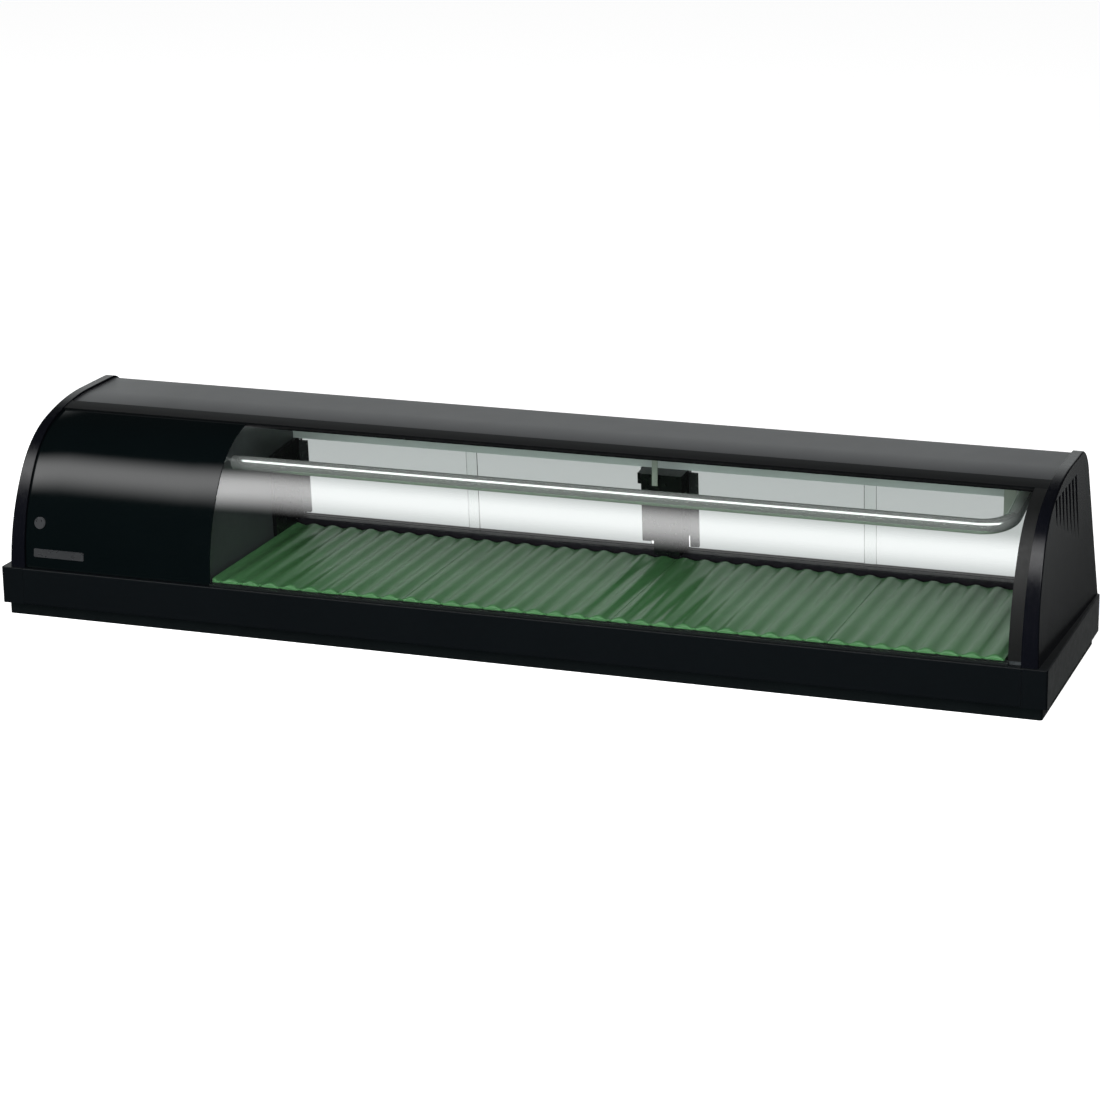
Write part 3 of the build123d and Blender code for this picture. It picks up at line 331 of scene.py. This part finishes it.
def extruded(section, stations):
    """Closed solid from one (Y, Z) section carried along X stations."""
    verts, faces = [], []
    count = len(section)
    for x in stations:
        verts += [(x, y, z) for y, z in section]
    for k in range(len(stations) - 1):
        for i in range(count):
            j = (i + 1) % count
            faces.append((k * count + i, k * count + j, (k + 1) * count + j, (k + 1) * count + i))
    faces.append(tuple(range(count))[::-1])
    faces.append(tuple(range((len(stations) - 1) * count, len(stations) * count)))
    return verts, faces


def band(outer, inner, start, stop, steps):
    """(Y, Z) section of a curved sheet between two insets and two turns."""
    turns = [start + (stop - start) * k / steps for k in range(steps + 1)]
    return [tuple(rim_point(t, outer)) for t in turns] + [tuple(rim_point(t, inner)) for t in reversed(turns)]


def spread(low_x, high_x, steps):
    """Evenly spaced values, both ends included."""
    return [low_x + (high_x - low_x) * k / steps for k in range(steps + 1)]


# curved front glass, with its polished edges broken
GLASS_FOOT = RAIL_TOP + 2.4
GLASS_TOP = FRONT + 151.3
GLASS_PAST_SEAL = 8.9
foot_turn = turn_where(lambda t: rim_point(t, BODY_INSET)[1] < GLASS_FOOT)
glass_top_turn = turn_where(lambda t: rim_point(t, BODY_INSET + GLASS)[0] < GLASS_TOP)
v, f = extruded(
    band(OUTER, GLASS_INNER, foot_turn, glass_top_turn, CURVE_STEPS),
    spread(GLASS_LEFT + SIDE_PLAY, GLASS_RIGHT + GLASS_PAST_SEAL, 12),
)
finish_piece("front_glass_sheet", v, f, "front_glass", "case", ["front_glass"], bevel=0.5)

# gloss cover over the machine compartment
COVER_FOOT = RAIL_TOP + 0.5
COVER_TOP = FRONT + 150.9
cover_foot = turn_where(lambda t: rim_point(t, BODY_INSET)[1] < COVER_FOOT)
cover_top = turn_where(lambda t: rim_point(t, BODY_INSET + SHEET)[0] < COVER_TOP)
v, f = extruded(
    band(OUTER, SHEET_INNER, cover_foot, cover_top, CURVE_STEPS),
    spread(-PANEL_INNER + SIDE_PLAY, GLASS_LEFT - 2 * GAP, 6),
)
finish_piece("machine_cover_sheet", v, f, "cover", "case", ["machine_cover"], bevel=0.5)


def roof_section(outer, inner, front_y, foot_z):
    """(Y, Z) section of the roof: crown arc, flat, rear bend and the start of the leaning back."""

    def edge(inset):
        pts = []
        begin = turn_where(lambda t: rim_point(t, inset)[0] < front_y)
        pts += [tuple(rim_point(begin + (90 - begin) * k / 24, inset)) for k in range(25)]
        top = CASE_TOP - inset
        pts += [(TOP_REAR + (pts[-1][0] - TOP_REAR) * (1 - k / 6), top) for k in range(1, 7)]
        centre = (TOP_REAR, CASE_TOP - BACK_RADIUS)
        bend = BACK_RADIUS - inset
        sweep = math.pi / 2 - BACK_LEAN
        for k in range(1, 25):
            a = sweep * k / 24
            pts.append((centre[0] + bend * math.sin(a), centre[1] + bend * math.cos(a)))
        last = pts[-1]
        if last[1] > foot_z:
            pts.append((last[0] + (last[1] - foot_z) * math.tan(BACK_LEAN), foot_z))
        return pts

    return edge(outer) + edge(inner)[::-1]


ROOF_FRONT = FRONT + 168.6
ROOF_FOOT = 246.7
ROOF_END = PANEL_INNER - SIDE_PLAY
v, f = extruded(roof_section(OUTER, SHEET_INNER, ROOF_FRONT, ROOF_FOOT), spread(-ROOF_END, ROOF_END, 10))
finish_piece("roof_panel", v, f, "top", "case", ["top_panel"], bevel=0.6)


# cooling pipe: one bent bright tube
def bent_path(corners, radii, steps):
    """Corner points with each inner corner rounded to its own radius."""
    path = [Vector(corners[0])]
    for k in range(1, len(corners) - 1):
        here = Vector(corners[k])
        into = (here - Vector(corners[k - 1])).normalized()
        out_of = (Vector(corners[k + 1]) - here).normalized()
        half = into.angle(out_of) / 2
        reach = radii[k - 1] * math.tan(half)
        start, stop = here - into * reach, here + out_of * reach
        centre = here + (out_of - into).normalized() * (radii[k - 1] / math.cos(half))
        a, b = start - centre, stop - centre
        full = a.angle(b)
        for i in range(steps + 1):
            t = i / steps
            path.append(centre + (a * math.sin((1 - t) * full) + b * math.sin(t * full)) / math.sin(full))
    path.append(Vector(corners[-1]))
    return path


def tube(path, radius, around):
    """Round bar along a path, with its frame carried without twist."""
    verts, faces = [], []
    tangent = (path[1] - path[0]).normalized()
    side_dir = tangent.orthogonal().normalized()
    for k, p in enumerate(path):
        ahead = path[min(k + 1, len(path) - 1)] - path[max(k - 1, 0)]
        ahead.normalize()
        side_dir = (side_dir - ahead * side_dir.dot(ahead)).normalized()
        up_dir = ahead.cross(side_dir)
        for i in range(around):
            a = 2 * math.pi * i / around
            verts.append(tuple(p + side_dir * radius * math.cos(a) + up_dir * radius * math.sin(a)))
    for k in range(len(path) - 1):
        for i in range(around):
            j = (i + 1) % around
            faces.append((k * around + i, k * around + j, (k + 1) * around + j, (k + 1) * around + i))
    faces.append(tuple(range(around))[::-1])
    faces.append(tuple(range((len(path) - 1) * around, len(path) * around)))
    return verts, faces


PIPE_FRONT = (FRONT + 112.0, 220)    # Y and Z of the run nearest the glass
PIPE_REAR = (FRONT + 266.0, 246)
PIPE_START, PIPE_END = -463.9, 670
PIPE_BENDS = (40, 24)
PIPE_RADIUS = 10.2
route = bent_path(
    [(PIPE_START, *PIPE_FRONT), (PIPE_END, *PIPE_FRONT), (PIPE_END, *PIPE_REAR), (PIPE_START, *PIPE_REAR)],
    PIPE_BENDS, 28,
)
v, f = tube(route, PIPE_RADIUS, 64)
finish_piece("cooling_pipe_tube", v, f, "pipe", "case", ["cooling_pipe"], sharp=50)

# corrugated trays
TRAY_LEVEL, TRAY_WAVE, TRAY_PITCH, TRAY_THICK = 75.0, 3.0, 29.9, 2.4
FIRST_CREST = -429.0
VALLEY_LIFT = -0.9           # valleys against the tray's level
HALF_WAVE = 1.95
FULLNESS = 0.18              # how much rounder than a sine the crests are
NOSE = 5.0                   # length over which a wave dies out at the front and rear edge
NOTCH, NOTCH_WIDTH = 2.6, 0.55
TRAY_PLAY = 0.02


def tray_piece(number):
    """Wavy tray inside the box of its solid, with rounded wave ends and a notch at each valley."""
    lo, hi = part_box(f"tray_{number}")
    x0, x1 = lo.x / MM + TRAY_PLAY, hi.x / MM - TRAY_PLAY
    y0, y1 = lo.y / MM + TRAY_PLAY, hi.y / MM - TRAY_PLAY
    cols = int((x1 - x0) / (TRAY_PITCH / 20))
    depths = [0, 0.5, 1.2, 2.0, 3.0, 4.2, 5.6, 7.2, 9.0, 12, 17, 25, 40, 60]
    middle = [y0 + 60 + (y1 - y0 - 120) * k / 12 for k in range(1, 12)]
    rows = [y0 + d for d in depths] + middle + [y1 - d for d in reversed(depths)]
    verts, faces = [], []
    for sign in (1, -1):
        for y in rows:
            end = min(y - y0, y1 - y)
            nose = 1.0 if end >= NOSE else math.sqrt(max(0.0, 1 - ((NOSE - end) / NOSE) ** 2))
            for c in range(cols + 1):
                x = x0 + (x1 - x0) * c / cols
                wave = math.cos(2 * math.pi * (x - FIRST_CREST) / TRAY_PITCH)
                shaped = wave * (1 + FULLNESS * (1 - wave * wave))
                lift = VALLEY_LIFT + (shaped + 1) * HALF_WAVE * nose
                valley = max(0.0, 1 - (math.acos(max(-1, min(1, -wave))) / NOTCH_WIDTH) ** 2)
                shift = NOTCH * valley * max(0.0, 1 - end / NOSE)
                yy = y + (shift if y - y0 < y1 - y else -shift)
                verts.append((x, yy, TRAY_LEVEL + min(lift, TRAY_WAVE) + sign * (TRAY_THICK / 2 - TRAY_PLAY)))
    width, height = cols + 1, len(rows)
    base = width * height
    for r in range(height - 1):
        for c in range(cols):
            a, b, d, e = r * width + c, r * width + c + 1, (r + 1) * width + c + 1, (r + 1) * width + c
            faces.append((a, b, d, e))
            faces.append((base + e, base + d, base + b, base + a))
    for c in range(cols):
        faces.append((base + c, base + c + 1, c + 1, c))
        far = (height - 1) * width
        faces.append((far + c, far + c + 1, base + far + c + 1, base + far + c))
    for r in range(height - 1):
        faces.append((r * width, (r + 1) * width, base + (r + 1) * width, base + r * width))
        k = width - 1
        here, ahead = r * width + k, (r + 1) * width + k
        faces.append((base + here, base + ahead, ahead, here))
    finish_piece(
        f"tray_{number}_moulding", verts, faces, "tray", f"food_tray_{number}", [f"tray_{number}"],
        sharp=60,
    )


for number in range(1, 5):
    tray_piece(number)

# ------------------------------------------------------------------ camera
YAW, PITCH, ROLL = 0.35093, 0.29320, -0.01292    # radians
CAMERA_AT = (1.5463, -4.1812, 1.4587)
FOCAL_LENGTH, SENSOR = 109.9555, 36.0
aim = Vector((-math.sin(YAW) * math.cos(PITCH), math.cos(YAW) * math.cos(PITCH), -math.sin(PITCH)))
side = aim.cross(Vector((0, 0, 1))).normalized()
up = side.cross(aim)
side, up = (
    math.cos(ROLL) * side + math.sin(ROLL) * up,
    -math.sin(ROLL) * side + math.cos(ROLL) * up,
)
cam_data = bpy.data.cameras.new("camera")
cam = bpy.data.objects.new("camera", cam_data)
scene.collection.objects.link(cam)
turn = Matrix((side, up, -aim)).transposed()
cam.matrix_world = Matrix.Translation(CAMERA_AT) @ turn.to_4x4()
cam_data.sensor_width = SENSOR
cam_data.lens = FOCAL_LENGTH
cam_data.clip_start, cam_data.clip_end = 0.05, 100
scene.camera = cam

# ------------------------------------------------------------------ stage
def glow_sheet(name, centre, direction, width, length, strength, peak):
    """A long soft box parallel to X, brightest along its middle and fading to both sides."""
    mesh = bpy.data.meshes.new(name)
    half_w, half_l = width / 2, length / 2
    across = direction.cross(Vector((1, 0, 0))).normalized()
    along = Vector((1, 0, 0))
    corners = ((-1, -1), (1, -1), (1, 1), (-1, 1))
    pts = [centre + along * a * half_l + across * b * half_w for a, b in corners]
    mesh.from_pydata(pts, [], [(0, 1, 2, 3)])
    mesh.update()
    uv = mesh.uv_layers.new(name="across")
    for loop, value in zip(uv.data, ((0, 0), (1, 0), (1, 1), (0, 1))):
        loop.uv = value
    obj = bpy.data.objects.new(name, mesh)
    scene.collection.objects.link(obj)
    g = Graph(name)
    split = g.add("ShaderNodeSeparateXYZ")
    g.link(g.add("ShaderNodeTexCoord").outputs["UV"], split.inputs[0])
    rise = g.add("ShaderNodeMapRange", interpolation_type="SMOOTHSTEP")
    rise.inputs["From Min"].default_value, rise.inputs["From Max"].default_value = 0.0, peak
    fall = g.add("ShaderNodeMapRange", interpolation_type="SMOOTHSTEP")
    fall.inputs["From Min"].default_value, fall.inputs["From Max"].default_value = peak, 1.0
    fall.inputs["To Min"].default_value, fall.inputs["To Max"].default_value = 1.0, 0.0
    bell = g.add("ShaderNodeMath", operation="MULTIPLY")
    power = g.add("ShaderNodeMath", operation="MULTIPLY")
    power.inputs[1].default_value = strength
    for value, socket in ((rise, bell.inputs[0]), (fall, bell.inputs[1])):
        g.link(split.outputs["Y"], value.inputs["Value"])
        g.link(value.outputs["Result"], socket)
    g.link(bell.outputs[0], power.inputs[0])
    emit = g.add("ShaderNodeEmission")
    g.link(power.outputs[0], emit.inputs["Strength"])
    g.link(emit.outputs[0], g.out.inputs["Surface"])
    mesh.materials.append(g.mat)
    obj.visible_camera = False


KEY_HEIGHT = math.radians(48)
KEY_AWAY, KEY_LENGTH, KEY_POWER = 2.6, 9.0, 3.5
KEY_LOW, KEY_HIGH = 0.86, 1.36    # reach of the sheet below and above its brightest line, metres
KEY_AIM = Vector((-0.6, -0.125, 0.204))
key_dir = Vector((0, -math.cos(KEY_HEIGHT), math.sin(KEY_HEIGHT)))
key_across = key_dir.cross(Vector((1, 0, 0))).normalized()
glow_sheet(
    "strip_light", KEY_AIM + key_dir * KEY_AWAY + key_across * (KEY_HIGH - KEY_LOW) / 2, key_dir,
    KEY_LOW + KEY_HIGH, KEY_LENGTH, KEY_POWER, KEY_LOW / (KEY_LOW + KEY_HIGH),
)


def soft_panel(name, centre, target, width, height, strength):
    """A broad, even fill light that leaves no highlight."""
    lamp = bpy.data.lights.new(name, "AREA")
    lamp.shape, lamp.size, lamp.size_y = "RECTANGLE", width, height
    lamp.energy = strength
    obj = bpy.data.objects.new(name, lamp)
    scene.collection.objects.link(obj)
    centre = Vector(centre)
    facing = (centre - Vector(target)).to_track_quat("Z", "Y")
    obj.matrix_world = Matrix.Translation(centre) @ facing.to_matrix().to_4x4()
    obj.visible_glossy = False
    obj.visible_camera = False
    obj.visible_transmission = False


soft_panel("front_fill", (0.2, -3.4, 0.9), (0, 0, 0.12), 5.0, 1.6, 190)

floor_mesh = bpy.data.meshes.new("floor")
FLOOR_HALF, FLOOR_DROP = 30, 0.0003
floor_signs = ((-1, -1), (1, -1), (1, 1), (-1, 1))
floor_corners = [(a * FLOOR_HALF, b * FLOOR_HALF, -FLOOR_DROP) for a, b in floor_signs]
floor_mesh.from_pydata(floor_corners, [], [(0, 1, 2, 3)])
floor = bpy.data.objects.new("floor", floor_mesh)
scene.collection.objects.link(floor)
g = Graph("floor_pale")
bsdf = g.add("ShaderNodeBsdfPrincipled")
bsdf.inputs["Roughness"].default_value = 0.9
bsdf.inputs["Base Color"].default_value = (0.9, 0.9, 0.9, 1)
bsdf.inputs["Specular IOR Level"].default_value = 0.0
bsdf.inputs["Emission Color"].default_value = (1, 1, 1, 1)
bsdf.inputs["Emission Strength"].default_value = 0.9
g.link(bsdf.outputs[0], g.out.inputs["Surface"])
floor_mesh.materials.append(g.mat)
floor.visible_glossy = False
floor.visible_diffuse = False
floor.visible_transmission = False

world = bpy.data.worlds.new("studio")
scene.world = world
world.use_nodes = True
wt = world.node_tree
wt.nodes.clear()
w_out = wt.nodes.new("ShaderNodeOutputWorld")
w_coord = wt.nodes.new("ShaderNodeTexCoord")
w_split = wt.nodes.new("ShaderNodeSeparateXYZ")
wt.links.new(w_coord.outputs["Generated"], w_split.inputs[0])


def ramp(value, stops):
    node = wt.nodes.new("ShaderNodeMapRange")
    node.interpolation_type = "SMOOTHSTEP"
    node.inputs["From Min"].default_value, node.inputs["From Max"].default_value = stops
    wt.links.new(value, node.inputs["Value"])
    return node.outputs["Result"]


def times(a, b):
    node = wt.nodes.new("ShaderNodeMath")
    node.operation = "MULTIPLY"
    for socket, value in zip(node.inputs, (a, b)):
        if isinstance(value, (int, float)):
            socket.default_value = value
        else:
            wt.links.new(value, socket)
    return node.outputs[0]


BACKDROP, AMBIENT = 0.6, 0.012
# the bright backdrop stands behind the case, low, and to the left of the glass end
behind = ramp(w_split.outputs["Y"], (0.45, 0.75))
low = ramp(w_split.outputs["Z"], (0.62, 0.42))
left = ramp(w_split.outputs["X"], (0.3, 0.0))
back_light = times(times(behind, low), times(left, BACKDROP))
add = wt.nodes.new("ShaderNodeMath")
add.operation = "ADD"
add.inputs[1].default_value = AMBIENT
wt.links.new(back_light, add.inputs[0])
bg_lit = wt.nodes.new("ShaderNodeBackground")
bg_lit.inputs["Color"].default_value = (0.96, 1.0, 1.0, 1)
wt.links.new(add.outputs[0], bg_lit.inputs["Strength"])
bg_white = wt.nodes.new("ShaderNodeBackground")
bg_white.inputs["Color"].default_value = (1, 1, 1, 1)
path = wt.nodes.new("ShaderNodeLightPath")
w_mix = wt.nodes.new("ShaderNodeMixShader")
wt.links.new(path.outputs["Is Camera Ray"], w_mix.inputs["Fac"])
wt.links.new(bg_lit.outputs[0], w_mix.inputs[1])
wt.links.new(bg_white.outputs[0], w_mix.inputs[2])
wt.links.new(w_mix.outputs[0], w_out.inputs["Surface"])
